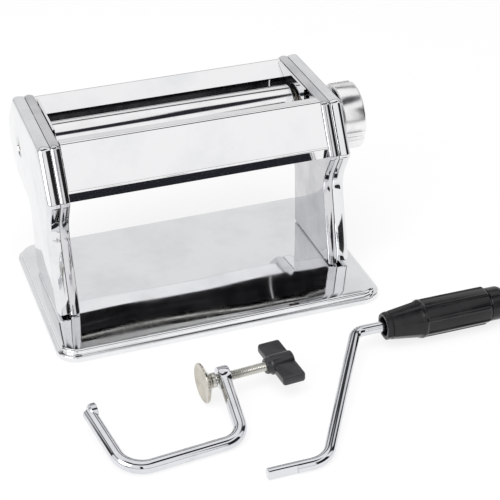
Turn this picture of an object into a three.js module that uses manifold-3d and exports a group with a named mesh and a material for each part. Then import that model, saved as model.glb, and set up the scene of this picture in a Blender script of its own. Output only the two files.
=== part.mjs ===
// Hand-cranked pasta roller machine for 150 mm wide sheets, with its crank and
// its table clamp lying beside it. Millimetres, +Z up.
// The machine stands on z = 0 with the dial side towards +X and the front
// cover towards -Y. The crank and the clamp lie on the table in front of it.
import * as THREE from 'three';
import { mergeVertices } from 'three/addons/utils/BufferGeometryUtils.js';
import Module from 'manifold-3d';

const wasm = await Module();
wasm.setup();
const { Manifold, Mesh: SolidMesh } = wasm;

// ---- driving dimensions ------------------------------------------------------
const gap = 0.3;                  // clearance between neighbouring solids
const sheet = 1.2;                // thickness of the pressed sheet

// base plate
const baseMargin = 7.5;           // how far the plate stands out past the covers
const baseDepth = 134;
const baseHeight = 7;
const baseCorner = 13;
const baseBorder = 2.4;           // width of each step in the plate's edge
const footDrop = 0.6;             // how far the rubber feet stand below the skirt
const footRadius = 8;
const footInset = 24;

// side panels: an inner frame tray and a deep outer cover, edge to edge
const rollerLength = 150;
const rollerEndRoom = 4;          // from a roller's end to its inner frame
const innerSpan = rollerLength + 2 * rollerEndRoom;
const frameDepth = 5.6;           // inner frame, from its face to the seam
const coverDepth = 7.6;           // outer cover, from the seam to its face
const coverRoll = 3.2;            // how far the cover's edge rolls in at its face
const seam = gap;
const headTop = 112;
const headBack = 85;
const headRoofBack = 62;          // where the head's roof turns down at the back
const headUnder = headTop - 56.5; // underside of the head behind the legs
const legBack = 33.5;
const legFront = -29;
const legWaist = -17.5;
const frameFoot = baseHeight + gap;
const coverFoot = baseHeight + 1.6;
const footBlock = 6;              // solid foot inside each inner frame

// rollers
const rollerRadius = 13;
const rollerZ = headTop - 20.5;
const rearRollerY = 32.5;
const rollerGap = 1;              // opening between the rollers at rest
const rollerTravel = 2;           // how far the dial opens them further
const journalRadius = 5;
const bushWall = 3;
const runFit = 0.3;               // running clearance on a radius
const frontRollerY = rearRollerY - 2 * rollerRadius - rollerGap;

// front of the head, in front of the front roller
const headFrontTop = frontRollerY - 19;
const headFrontLow = frontRollerY - 36;
const headFrontZ = headTop - 30;
const legWaistZ = headFrontZ - 21;
const outerHalf = innerSpan / 2 + frameDepth + seam + coverDepth;
const baseWidth = 2 * (outerHalf + baseMargin);

// gears behind the left cover, long teeth so that they stay in mesh
const gearTeeth = 12;
const gearWidth = 4.2;
const gearPitchRadius = rollerRadius + rollerGap / 2;
const gearAddendum = 1.9;
const gearDedendum = 2.6;
const gearToothShare = 0.3;       // tooth width as a share of one pitch

// dial on the right cover, on the front roller's axis
const dialRadius = 20.8;
const dialLength = 14;
const dialStandOff = 1.5;
const dialPull = 4;
const dialSpindleRadius = 4;
const dialGrooves = 3;
const dialGrooveAngle = 196;      // first groove, from +Y towards +Z

// crank, lying on the table
const crankRodRadius = 3.2;
const crankThrow = 92.6;
const crankHandleY = -baseDepth / 2 - 41.4;
const crankDriveY = crankHandleY - crankThrow;
const crankDriveEndX = -22.6;
const crankDriveBendX = 10.2;
const crankHandleBendX = 63.5;
const crankFlatDepth = 1.3;
const crankFlatLength = 16;
const gripRadius = 11.5;
const gripStartX = 81;
const gripShoulderX = 103;
const gripBarrelEndX = 146;
const gripEndX = 157.6;
const gripNoseRadius = 8.3;
const gripCapRadius = 9.9;
const gripFlutes = 8;

// table clamp, lying on the table
const clampRodRadius = 3.75;
const clampTurn = 4.5;            // degrees from +X to the screw's axis
const clampScrewZ = 11.5;
const clampEyeX = -21;
const clampEyeY = -baseDepth / 2 - 57.4;
const clampScrewRadius = 2.7;
const clampPadRadius = 11.3;
const clampPadRoom = 5.85;        // from the rod's side at the eye to the middle of the pad
const clampPadAt = -(clampRodRadius + clampPadRoom);
const clampKnobAt = 27.5;
const clampKnobDepth = 14;
const clampKnobSpan = 37;
const clampKnobThick = 5.4;
const clampHubRadius = 5.6;
const clampRodEndAt = -77.1;      // middle of the rod's free end
const clampFaceRadius = 5;

// ---- shared geometry ---------------------------------------------------------
const V2 = (x, y) => new THREE.Vector2(x, y);
const V3 = (x, y, z) => new THREE.Vector3(x, y, z);
const rad = THREE.MathUtils.degToRad;

// three.js surface -> closed solid
function solid(geometry) {
  const bare = geometry.clone();
  bare.deleteAttribute('normal');
  bare.deleteAttribute('uv');
  const welded = mergeVertices(bare, 1e-4);
  const p = welded.attributes.position;
  const index = welded.index.array;
  const kept = [];
  let volume = 0;
  for (let i = 0; i < index.length; i += 3) {
    const [a, b, c] = [index[i], index[i + 1], index[i + 2]];
    if (a === b || b === c || a === c) continue;
    kept.push(a, b, c);
    const va = V3().fromBufferAttribute(p, a);
    const vb = V3().fromBufferAttribute(p, b);
    const vc = V3().fromBufferAttribute(p, c);
    volume += va.dot(vb.cross(vc));
  }
  if (volume < 0) kept.reverse();
  return new Manifold(new SolidMesh({
    numProp: 3,
    vertProperties: new Float32Array(p.array),
    triVerts: new Uint32Array(kept),
  }));
}

// closed solid -> three.js surface
function surface(body) {
  const mesh = body.getMesh();
  const geometry = new THREE.BufferGeometry();
  geometry.setAttribute('position', new THREE.BufferAttribute(mesh.vertProperties, 3));
  geometry.setIndex(new THREE.BufferAttribute(mesh.triVerts, 1));
  const flat = geometry.toNonIndexed();
  flat.computeVertexNormals();
  return flat;
}

const join = (...bodies) => bodies.reduce((all, one) => all.add(one));
const cut = (body, ...tools) => tools.reduce((all, one) => all.subtract(one), body);

// corners [a, b, radius] of a closed counter-clockwise outline -> points
function rounded(corners) {
  const points = [];
  corners.forEach(([a, b, r], i) => {
    const here = V2(a, b);
    const [pa, pb] = corners[(i + corners.length - 1) % corners.length];
    const [na, nb] = corners[(i + 1) % corners.length];
    const back = V2(pa, pb).sub(here).normalize();
    const ahead = V2(na, nb).sub(here).normalize();
    const half = Math.acos(THREE.MathUtils.clamp(back.dot(ahead), -1, 1)) / 2;
    if (!r || half > 1.56) {
      points.push(here);
      return;
    }
    const middle = back.clone().add(ahead).normalize().multiplyScalar(r / Math.sin(half)).add(here);
    const start = back.clone().multiplyScalar(r / Math.tan(half)).add(here).sub(middle);
    const end = ahead.clone().multiplyScalar(r / Math.tan(half)).add(here).sub(middle);
    const turn = Math.atan2(start.cross(end), start.dot(end));
    const steps = Math.max(2, Math.ceil(Math.abs(turn) / rad(30)));
    for (let k = 0; k <= steps; k += 1) {
      points.push(start.clone().rotateAround(V2(0, 0), (turn * k) / steps).add(middle));
    }
  });
  return points;
}

// the same corners moved inwards by d
function inset(corners, d) {
  return corners.map(([a, b, r], i) => {
    const here = V2(a, b);
    const [pa, pb] = corners[(i + corners.length - 1) % corners.length];
    const [na, nb] = corners[(i + 1) % corners.length];
    const arriving = here.clone().sub(V2(pa, pb)).normalize();
    const leaving = V2(na, nb).sub(here).normalize();
    const n1 = V2(-arriving.y, arriving.x);
    const n2 = V2(-leaving.y, leaving.x);
    const move = n1.clone().add(n2).multiplyScalar(d / (1 + n1.dot(n2)));
    const convex = arriving.cross(leaving) > 0;
    return [a + move.x, b + move.y, Math.max(r + (convex ? -d : d), 0.4)];
  });
}

// a bent sheet: its outer line as corners [a, b, radius], thickened to its right
function sheetOutline(line, thickness) {
  const sides = [[], []];
  line.forEach(([a, b, r], i) => {
    const here = V2(a, b);
    const before = i ? here.clone().sub(V2(...line[i - 1])).normalize() : null;
    const after = i < line.length - 1
      ? V2(line[i + 1][0], line[i + 1][1]).sub(here).normalize() : null;
    const d1 = before || after;
    const d2 = after || before;
    const n1 = V2(d1.y, -d1.x);
    const n2 = V2(d2.y, -d2.x);
    const move = n1.clone().add(n2).multiplyScalar(thickness / (1 + n1.dot(n2)));
    const opens = d1.cross(d2) > 0;
    sides[0].push([a, b, r]);
    sides[1].push([a + move.x, b + move.y, r ? Math.max(r + (opens ? thickness : -thickness), 0.3) : 0]);
  });
  return rounded([...sides[0], ...sides[1].reverse()]);
}

const alongX = new THREE.Matrix4().makeBasis(V3(0, 1, 0), V3(0, 0, 1), V3(1, 0, 0));

// an outline in the YZ plane, from x0 to x1
function slabX(points, x0, x1) {
  const g = new THREE.ExtrudeGeometry(new THREE.Shape(points), { depth: x1 - x0, bevelEnabled: false });
  return solid(g.applyMatrix4(alongX).translate(x0, 0, 0));
}

// corners of a YZ outline lofted from x0 to x1, the edge at x1 rolled in by
// `roll` over `depth`
function dishX(corners, x0, x1, roll, depth) {
  const rings = [[x0, rounded(corners)]];
  for (let k = 0; k <= 3; k += 1) {
    const a = (k / 3) * rad(90);
    const inwards = roll * (1 - Math.cos(a)) + 0.001;
    rings.push([x1 - depth * (1 - Math.sin(a)), rounded(inset(corners, inwards))]);
  }
  const n = rings[0][1].length;
  const positions = rings.flatMap(([x, points]) => points.flatMap((p) => [x, p.x, p.y]));
  const index = [];
  for (let i = 0; i < rings.length - 1; i += 1) {
    for (let k = 0; k < n; k += 1) {
      const [a, b] = [i * n + k, i * n + ((k + 1) % n)];
      index.push(a, b, b + n, a, b + n, a + n);
    }
  }
  const last = (rings.length - 1) * n;
  THREE.ShapeUtils.triangulateShape(rings[0][1], []).forEach(([a, b, c]) => index.push(a, c, b));
  THREE.ShapeUtils.triangulateShape(rings[rings.length - 1][1], [])
    .forEach(([a, b, c]) => index.push(last + a, last + b, last + c));
  const g = new THREE.BufferGeometry();
  g.setAttribute('position', new THREE.Float32BufferAttribute(positions, 3));
  g.setIndex(index);
  return solid(g);
}

// an outline in the XY plane, from z0 to z1, its upper edge bevelled
function slabZ(points, z0, z1, bevel = 0) {
  const g = new THREE.ExtrudeGeometry(new THREE.Shape(points), {
    depth: z1 - z0 - bevel, bevelEnabled: bevel > 0, bevelThickness: bevel, bevelSize: bevel,
    bevelOffset: -bevel, bevelSegments: 2,
  });
  const body = solid(g.translate(0, 0, z0));
  return bevel ? cut(body, block(-300, -300, z0 - 20, 300, 300, z0)) : body;
}

function block(x0, y0, z0, x1, y1, z1) {
  const g = new THREE.BoxGeometry(x1 - x0, y1 - y0, z1 - z0);
  return solid(g.translate((x0 + x1) / 2, (y0 + y1) / 2, (z0 + z1) / 2));
}

// a turned body: profile [distance along the axis, radius] from `at` towards `axis`
function turned(profile, at, axis = V3(1, 0, 0), segments = 20) {
  const points = profile.map(([along, r]) => V2(Math.max(r, 0), along));
  const g = new THREE.LatheGeometry(points, segments);
  const turn = new THREE.Quaternion().setFromUnitVectors(V3(0, 1, 0), axis.clone().normalize());
  return solid(g.applyQuaternion(turn).translate(at.x, at.y, at.z));
}

const pin = (at, axis, length, r, segments = 20) => turned(
  [[0, 0], [0, r], [length, r], [length, 0]], at, axis, segments);

const bendSteps = 5;               // facets along each bend of a rod

// a round rod bent through corner points [x, y, z, bend radius]
function bentRod(corners, r, sides = 12) {
  const path = [];
  corners.forEach(([x, y, z, bend], i) => {
    const here = V3(x, y, z);
    if (!bend) {
      path.push(here);
      return;
    }
    const back = V3(...corners[i - 1]).sub(here).normalize();
    const ahead = V3(...corners[i + 1]).sub(here).normalize();
    const half = back.angleTo(ahead) / 2;
    const reach = bend / Math.tan(half);
    const start = back.clone().multiplyScalar(reach).add(here);
    const end = ahead.clone().multiplyScalar(reach).add(here);
    const middle = back.clone().add(ahead).normalize();
    middle.multiplyScalar(bend / Math.sin(half)).add(here);
    const from = start.clone().sub(middle);
    const normal = from.clone().cross(end.clone().sub(middle)).normalize();
    const turn = Math.PI - 2 * half;
    for (let k = 0; k <= bendSteps; k += 1) {
      path.push(from.clone().applyAxisAngle(normal, (turn * k) / bendSteps).add(middle));
    }
  });
  return sweep(path, r, sides);
}

// rings of `sides` points about each point of a path, capped at both ends
function sweep(path, r, sides) {
  const positions = [];
  const index = [];
  const up = V3(0, 0, 1);
  path.forEach((p, i) => {
    const before = i ? p.clone().sub(path[i - 1]).normalize() : null;
    const after = i < path.length - 1 ? path[i + 1].clone().sub(p).normalize() : null;
    const along = (before || after).clone().add(after || before).normalize();
    const across = along.clone().cross(up).normalize();
    const rise = across.clone().cross(along);
    for (let k = 0; k < sides; k += 1) {
      const a = (2 * Math.PI * k) / sides;
      const q = p.clone().addScaledVector(across, r * Math.cos(a)).addScaledVector(rise, r * Math.sin(a));
      positions.push(q.x, q.y, q.z);
    }
  });
  const last = (path.length - 1) * sides;
  for (let k = 0; k < sides; k += 1) {
    const n = (k + 1) % sides;
    for (let i = 0; i < path.length - 1; i += 1) {
      const a = i * sides;
      index.push(a + k, a + n, a + sides + n, a + k, a + sides + n, a + sides + k);
    }
    if (k > 0 && k < sides - 1) {
      index.push(0, k + 1, k, last, last + k, last + k + 1);
    }
  }
  const g = new THREE.BufferGeometry();
  g.setAttribute('position', new THREE.Float32BufferAttribute(positions, 3));
  g.setIndex(index);
  return solid(g);
}

// ---- the set ------------------------------------------------------------------
const finishes = {
  chrome: [0xd9dbdd, 0.08, 1],
  roller: [0xe2e3e4, 0.14, 1],
  steel: [0xa9acaf, 0.35, 1],
  zinc: [0xb9b5a8, 0.4, 1],
  brass: [0xb08d57, 0.35, 1],
  nickel: [0xc6c0b2, 0.28, 1],
  black: [0x19191b, 0.45, 0],
  rubber: [0x232323, 0.85, 0],
  white: [0xf1f1ee, 0.4, 0],
};
const group = new THREE.Group();
group.name = 'pasta_roller_machine';

function add(name, body, finish) {
  const [color, roughness, metalness] = finishes[finish];
  const material = new THREE.MeshStandardMaterial({ color, roughness, metalness });
  const mesh = new THREE.Mesh(surface(body), material);
  mesh.name = name;
  group.add(mesh);
  return mesh;
}

// ---- base plate: pressed from one sheet, with a stepped border -----------------
const plateOutline = (d) => {
  const w = baseWidth / 2 - d;
  const h = baseDepth / 2 - d;
  const r = baseCorner - d;
  return rounded([[w, -h, r], [w, h, r], [-w, h, r], [-w, -h, r]]);
};
const plateStep = footDrop + (baseHeight - footDrop) / 2;
const legX = innerSpan / 2 + frameDepth / 2;
const screwYs = [legFront + 12, legBack - 12];
const plateHoles = [-1, 1].flatMap((side) => screwYs.map((y) => pin(
  V3(side * legX, y, 0), V3(0, 0, 1), baseHeight + 2, 2.5, 10)));
add('base_plate', cut(
  join(
    slabZ(plateOutline(0), footDrop, plateStep, 0.8),
    slabZ(plateOutline(baseBorder), plateStep - 1, baseHeight, 1.4)),
  slabZ(plateOutline(sheet), footDrop - 1, plateStep - sheet),
  slabZ(plateOutline(baseBorder + sheet), 0, baseHeight - sheet),
  ...plateHoles), 'chrome');

const footX = baseWidth / 2 - footInset;
const footY = baseDepth / 2 - footInset;
[[-1, -1], [1, -1], [1, 1], [-1, 1]].forEach(([sx, sy], i) => {
  const top = baseHeight - sheet - gap;
  add(`rubber_foot_${i + 1}`, turned(
    [[0, 0], [0, footRadius], [top * 0.4, footRadius], [top, footRadius - 1.5], [top, 0]],
    V3(sx * footX, sy * footY, 0), V3(0, 0, 1), 16), 'rubber');
});

// screws from below into the foot of each inner frame
[-1, 1].forEach((side, s) => screwYs.forEach((y, i) => {
  const head = 2.2;
  const start = baseHeight - sheet - gap - head;
  const length = frameFoot + footBlock - 1 - gap - start;
  add(`leg_screw_${s * 2 + i + 1}`, turned(
    [[0, 0], [0, 4.2], [head, 4.2], [head, 2], [length, 2], [length, 0]],
    V3(side * legX, y, start), V3(0, 0, 1), 10), 'zinc');
}));

// ---- side panels ----------------------------------------------------------------
// outline of a side panel in the YZ plane, its foot at height z
const panelOutline = (z) => [
  [legBack, z, 0.8],
  [legBack, headUnder - 2.5, 10],
  [headBack - 15, headUnder, 12],
  [headBack, headTop - 42, 10],
  [headBack, headTop - 22, 10],
  [headRoofBack, headTop, 5],
  [headFrontTop, headTop, 4],
  [headFrontLow, headFrontZ, 4],
  [legWaist, legWaistZ, 22],
  [legFront, z, 0.8],
];
const frameFace = innerSpan / 2;
const seamX = frameFace + frameDepth;
const coverX = seamX + seam;
const outerX = coverX + coverDepth;
const screwY = rearRollerY + 20;
const screwZ = rollerZ - 9;
const bushOuter = journalRadius + runFit + bushWall;

// the opening for the front roller's carriers, long enough for their travel
function carrierSlot(x0, x1) {
  const r = bushOuter + runFit;
  const a = pin(V3(x0, frontRollerY, rollerZ), V3(1, 0, 0), x1 - x0, r);
  const b = pin(V3(x0, frontRollerY - rollerTravel, rollerZ), V3(1, 0, 0), x1 - x0, r);
  const web = block(x0, frontRollerY - rollerTravel, rollerZ - r, x1, frontRollerY, rollerZ + r);
  return join(a, b, web);
}

const mirrored = (body, side) => (side > 0 ? body : body.mirror([1, 0, 0]));

const frameTray = cut(
  slabX(rounded(panelOutline(frameFoot)), frameFace, seamX),
  slabX(rounded(inset(panelOutline(frameFoot + footBlock), sheet)), frameFace + sheet + 0.4, seamX + 1),
  pin(V3(frameFace - 1, rearRollerY, rollerZ), V3(1, 0, 0), 6, bushOuter + gap),
  carrierSlot(frameFace - 1, frameFace + 5),
  pin(V3(frameFace - 1, screwY, screwZ), V3(1, 0, 0), 6, 3.2),
  ...screwYs.map((y) => pin(V3(legX, y, frameFoot - 1), V3(0, 0, 1), footBlock, 2.3, 10)));

const coverShell = cut(
  dishX(panelOutline(coverFoot), coverX, coverX + coverDepth, coverRoll, 3.4),
  dishX(inset(panelOutline(coverFoot), sheet), coverX - 1, coverX + coverDepth - sheet, coverRoll, 3.4));
const dimpleDepth = 2.2;
const dimple = turned(
  [[0, 0], [0, 6], [dimpleDepth, 6.8], [4, 6.8], [4, 0]],
  V3(outerX - dimpleDepth, screwY, screwZ), V3(1, 0, 0));
const dimpleBoss = turned(
  [[0, 0], [0, 7.2], [2.6, 8.2], [2.6, 0]],
  V3(outerX - dimpleDepth - sheet, screwY, screwZ), V3(1, 0, 0));
const screwHole = pin(V3(coverX, screwY, screwZ), V3(1, 0, 0), coverDepth + 2, 3.4);
const screwedCover = cut(coverShell.add(dimpleBoss), dimple, screwHole);

[[-1, 'left'], [1, 'right']].forEach(([side, word]) => {
  add(`inner_frame_${word}`, mirrored(frameTray, side), 'chrome');
});
add('outer_cover_left', mirrored(screwedCover, -1), 'chrome');
add('outer_cover_right', cut(
  screwedCover,
  pin(V3(coverX, rearRollerY, rollerZ), V3(1, 0, 0), coverDepth + 2, journalRadius + 1.6),
  pin(V3(coverX, frontRollerY, rollerZ), V3(1, 0, 0), coverDepth + 2, dialSpindleRadius + gap)), 'chrome');

// ---- tie rods and the screws that hold the covers ---------------------------------
const tieEnd = frameFace - gap;
const tieX = V3(1, 0, 0);
add('tie_rod_rear', cut(
  pin(V3(-tieEnd, screwY, screwZ), tieX, 2 * tieEnd, 4, 20),
  pin(V3(-tieEnd - 1, screwY, screwZ), tieX, 13, 2.6, 16),
  pin(V3(tieEnd - 12, screwY, screwZ), tieX, 13, 2.6, 16)), 'zinc');
const frontTieY = frontRollerY - rollerTravel - rollerRadius - 6;
add('tie_rod_front', pin(V3(-tieEnd, frontTieY, rollerZ - 2), tieX, 2 * tieEnd, 3, 20), 'zinc');
[[-1, 'left'], [1, 'right']].forEach(([side, word]) => {
  const head = turned(
    [[0, 0], [0, 5.4], [0.9, 5.4], [1.5, 4.2], [1.8, 2], [1.8, 0]],
    V3(outerX - dimpleDepth + gap, screwY, screwZ), tieX, 16);
  const shank = pin(V3(frameFace - 10, screwY, screwZ), tieX, outerX - frameFace + 8.4, 2.3, 16);
  const slots = [[5.6, 1.1], [1.1, 5.6]].map(([w, h]) => block(
    outerX - 1.1, screwY - w / 2, screwZ - h / 2, outerX + 2, screwY + w / 2, screwZ + h / 2));
  add(`cover_screw_${word}`, mirrored(cut(head.add(shank), ...slots), side), 'zinc');
});

// ---- sheets between the panels -------------------------------------------------------
const sheetEnd = frameFace - gap;
const foldThickness = 1;
add('front_cover', slabX(sheetOutline([
  [headFrontTop + 8.9, headTop - 1.6, 0],
  [headFrontTop + 2.1, headTop - 0.8, 1.2],
  [headFrontLow + 6.2, headFrontZ + 5.3, 1.6],
  [headFrontLow + 9.2, headFrontZ - 2.2, 0],
], foldThickness), -sheetEnd, sheetEnd), 'chrome');

// the hopper plate slopes down towards the rear roller and stops short of it
const hopperReach = rollerRadius + 5.8;
const hopperLow = V2(
  rearRollerY + hopperReach * Math.cos(rad(39.4)), rollerZ + hopperReach * Math.sin(rad(39.4)));
const hopperHigh = V2(headRoofBack - 1.8, headTop - 1.4);
add('hopper_plate', slabX(sheetOutline([
  [hopperHigh.x + 0.5, hopperHigh.y - 2.6, 0],
  [hopperHigh.x, hopperHigh.y, 1.2],
  [hopperLow.x, hopperLow.y, 0],
], foldThickness), -sheetEnd, sheetEnd), 'chrome');
add('rear_cover', slabX(sheetOutline([
  [headRoofBack + 0.6, headTop - 5.2, 0],
  [headBack - 3.8, headTop - 23.6, 8],
  [headBack - 3.8, headTop - 39.6, 8],
  [headBack - 17, headUnder + 4.1, 9],
  [headBack - 35, headUnder + 3.1, 0],
], foldThickness), -sheetEnd, sheetEnd), 'chrome');

// guide cheeks, in front of the hopper plate
const cheekFront = (rearRollerY + frontRollerY) / 2 - 8.5;
const cheekTop = headTop - 1.1;
const cheek = slabX(rounded([
  [cheekFront, hopperLow.y - 0.8, 0.5],
  [hopperLow.x - 1.9, hopperLow.y + 0.4, 0.5],
  [hopperHigh.x - 2.8, hopperHigh.y - 0.2, 0.1],
  [hopperHigh.x - 3.4, cheekTop, 0.1],
  [cheekFront, cheekTop, 0.5],
]), sheetEnd - 1.4 - gap, sheetEnd - gap);
[[-1, 'left'], [1, 'right']].forEach(([side, word]) => {
  add(`hopper_cheek_${word}`, mirrored(cheek, side), 'chrome');
});

// ---- rollers, bushes, carriers, gears, drive socket ------------------------------------
const rollerHalf = rollerLength / 2;
const gearX = -(seamX + gearWidth);
function roller(y, leftEnd, rightEnd) {
  return turned([
    [leftEnd, 0], [leftEnd, journalRadius], [-rollerHalf, journalRadius],
    [-rollerHalf, rollerRadius - 0.5], [-rollerHalf + 0.5, rollerRadius],
    [rollerHalf - 0.5, rollerRadius], [rollerHalf, rollerRadius - 0.5],
    [rollerHalf, journalRadius], [rightEnd, journalRadius], [rightEnd, 0],
  ], V3(0, y, rollerZ), tieX, 30);
}
const socketDepth = 18;
const socketEnd = outerX - 0.4;
const socketRadius = crankRodRadius + gap;
// the crank's round end with one flat, as a hole
const socketHole = cut(
  pin(V3(socketEnd - socketDepth, rearRollerY, rollerZ), tieX, socketDepth + 1, socketRadius, 20),
  block(0, rearRollerY - 9, rollerZ - 9, 120,
    rearRollerY - crankRodRadius + crankFlatDepth - gap, rollerZ + 9));
add('rear_roller', cut(roller(rearRollerY, gearX - 0.4, socketEnd), socketHole), 'roller');
add('front_roller', roller(frontRollerY, gearX - 0.4, frameFace + 4), 'roller');

const bush = (side, y) => turned([
  [0, journalRadius + runFit], [0, bushOuter + 1.6], [1.2, bushOuter + 1.6], [1.2, bushOuter],
  [5.4, bushOuter], [5.4, journalRadius + runFit], [0, journalRadius + runFit],
], V3(side * (frameFace - 1.2 - gap), y, rollerZ), V3(side, 0, 0), 16);
[[-1, 'left'], [1, 'right']].forEach(([side, word]) => {
  add(`roller_bush_${word}`, bush(side, rearRollerY), 'brass');
  add(`roller_carrier_${word}`, bush(side, frontRollerY), 'brass');
});

// long straight-sided teeth; `phase` is in tooth pitches
function gear(y, phase) {
  const pitch = (2 * Math.PI) / gearTeeth;
  const tip = gearPitchRadius + gearAddendum - rollerGap / 2;
  const root = gearPitchRadius - gearDedendum;
  const foot = gearToothShare * 0.95;
  const crest = gearToothShare * 0.42;
  const points = [];
  for (let i = 0; i < gearTeeth; i += 1) {
    const middle = (i + phase) * pitch;
    [
      [-0.5 + gearToothShare * 0.1, root],
      [-foot, root + 0.2],
      [-crest, tip],
      [crest, tip],
      [foot, root + 0.2],
    ].forEach(([share, r]) => {
      points.push(V2(r * Math.cos(middle + share * pitch), r * Math.sin(middle + share * pitch)));
    });
  }
  const teeth = slabX(points, gearX, gearX + gearWidth - gap);
  const bore = pin(V3(gearX - 1, 0, 0), tieX, gearWidth + 2, journalRadius + 0.1);
  return cut(teeth, bore).translate([0, y, rollerZ]);
}
add('gear_rear', gear(rearRollerY, 0), 'steel');
add('gear_front', gear(frontRollerY, 0.5), 'steel');

// scraper blades under the rollers
const blade = [[-0.6, -0.5, 0.2], [9.5, -0.5, 0.2], [9.5, 0.5, 0.2], [-0.6, 0.5, 0.2]];
function scraper(y, z, turn) {
  const points = rounded(blade).map((p) => p.rotateAround(V2(0, 0), rad(turn)).add(V2(y, z)));
  return slabX(points, -sheetEnd, sheetEnd);
}
const scraperReach = rollerRadius + 1.59;
const scraperOut = scraperReach * Math.cos(rad(61.3));
const scraperZ = rollerZ - scraperReach * Math.sin(rad(61.3));
add('scraper_front', scraper(frontRollerY + scraperOut, scraperZ, 222), 'white');
add('scraper_rear', scraper(rearRollerY - scraperOut, scraperZ, -42), 'white');

// ---- thickness dial -------------------------------------------------------------------
const dialAt = V3(outerX + dialStandOff, frontRollerY, rollerZ);
const knobWall = 2.6;
const knobBoss = 6.4;
const cup = turned([
  [0, 0], [0, dialRadius - 1.4], [0.6, dialRadius - 0.5], [2, dialRadius],
  [dialLength - 1.6, dialRadius], [dialLength - 0.4, dialRadius - 0.5], [dialLength, dialRadius - 1.4],
  [dialLength, dialRadius - knobWall], [5, dialRadius - knobWall],
  [5, knobBoss], [10, knobBoss - 0.4], [10, 0],
], dialAt, tieX, 36);
const gripBar = slabX(rounded([
  [-3.2, -dialRadius + knobWall - 0.5, 0], [3.2, -dialRadius + knobWall - 0.5, 0],
  [3.2, dialRadius - knobWall + 0.5, 0], [-3.2, dialRadius - knobWall + 0.5, 0],
]), 4, dialLength - 1).translate([dialAt.x, dialAt.y, dialAt.z]);
const grooves = Array.from({ length: dialGrooves }, (_, i) => {
  const a = rad(dialGrooveAngle + (360 / dialGrooves) * i);
  return pin(V3(dialAt.x - 1, dialAt.y + (dialRadius + 2.2) * Math.cos(a),
    dialAt.z + (dialRadius + 2.2) * Math.sin(a)), tieX, dialLength + 2, 3.4, 16);
});
// deep enough that the knob still turns its spindle when it is pulled out
const spindleGrip = dialPull + 4;
const spindleHole = pin(V3(dialAt.x - 1, dialAt.y, dialAt.z), tieX, spindleGrip + 1.5,
  dialSpindleRadius + gap);
add('dial_knob', cut(cup.add(gripBar), ...grooves, spindleHole), 'chrome');
const spindleStart = frameFace + 6.4;
add('dial_spindle', pin(V3(spindleStart, frontRollerY, rollerZ), tieX,
  dialAt.x + spindleGrip - spindleStart, dialSpindleRadius, 16), 'steel');
const discPoints = Array.from({ length: 24 }, (_, i) => {
  const a = (i / 24) * 2 * Math.PI;
  const r = i % 2 ? 9.2 : 10;
  return V2(r * Math.cos(a), r * Math.sin(a));
});
add('detent_disc', cut(
  slabX(discPoints, spindleStart, spindleStart + 1.4),
  pin(V3(0, 0, 0), tieX, 200, dialSpindleRadius + gap)).translate([0, frontRollerY, rollerZ]), 'steel');

// ---- crank ------------------------------------------------------------------------------
const crankRod = bentRod([
  [crankDriveEndX, crankDriveY, crankRodRadius],
  [crankDriveBendX, crankDriveY, crankRodRadius, 15],
  [crankHandleBendX, crankHandleY, gripRadius, 9],
  [gripBarrelEndX + 4, crankHandleY, gripRadius],
], crankRodRadius);
const flat = block(crankDriveEndX - 1, crankDriveY - 9, -1, crankDriveEndX + crankFlatLength,
  crankDriveY - crankRodRadius + crankFlatDepth, 9);
add('crank_rod', cut(crankRod, flat), 'chrome');

const gripAt = V3(0, crankHandleY, gripRadius);
const gripBore = crankRodRadius + runFit;
const gripShape = turned([
  [gripStartX, gripBore + 2.2], [gripStartX, gripNoseRadius - 0.6], [gripStartX + 0.8, gripNoseRadius],
  [gripShoulderX - 1, gripRadius - 0.4], [gripShoulderX, gripRadius],
  [gripShoulderX + 1.6, gripRadius], [gripBarrelEndX - 1, gripRadius - 0.2],
  [gripBarrelEndX, gripRadius - 1], [gripBarrelEndX, gripBore],
  [gripStartX + 7, gripBore], [gripStartX + 7, gripBore + 2.2], [gripStartX, gripBore + 2.2],
], gripAt, tieX, 32);
const flutes = Array.from({ length: gripFlutes }, (_, i) => {
  const a = rad((360 / gripFlutes) * (i + 0.5));
  return block(gripShoulderX + 2.6, -0.8, gripRadius - 0.7, gripBarrelEndX + 1, 0.8, gripRadius + 2)
    .rotate([THREE.MathUtils.radToDeg(a), 0, 0]).translate([0, gripAt.y, gripAt.z]);
});
add('crank_grip', cut(gripShape, ...flutes), 'black');
const capStart = gripBarrelEndX + gap;
add('grip_end_cap', turned([
  [capStart, gripBore + 0.6], [capStart, gripCapRadius], [gripEndX - 4, gripCapRadius],
  [gripEndX - 1.4, gripCapRadius - 1.2], [gripEndX, gripCapRadius - 3.6], [gripEndX, 0],
  [gripBarrelEndX + 5, 0], [gripBarrelEndX + 5, gripBore + 0.6], [capStart, gripBore + 0.6],
], gripAt, tieX, 24), 'black');

// ---- table clamp ---------------------------------------------------------------------------
const clampU = V3(Math.cos(rad(clampTurn)), Math.sin(rad(clampTurn)), 0);
const clampEye = V3(clampEyeX, clampEyeY, clampScrewZ);
const onScrew = (along) => clampEye.clone().addScaledVector(clampU, along);
const rodStart = onScrew(clampRodEndAt);
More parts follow.
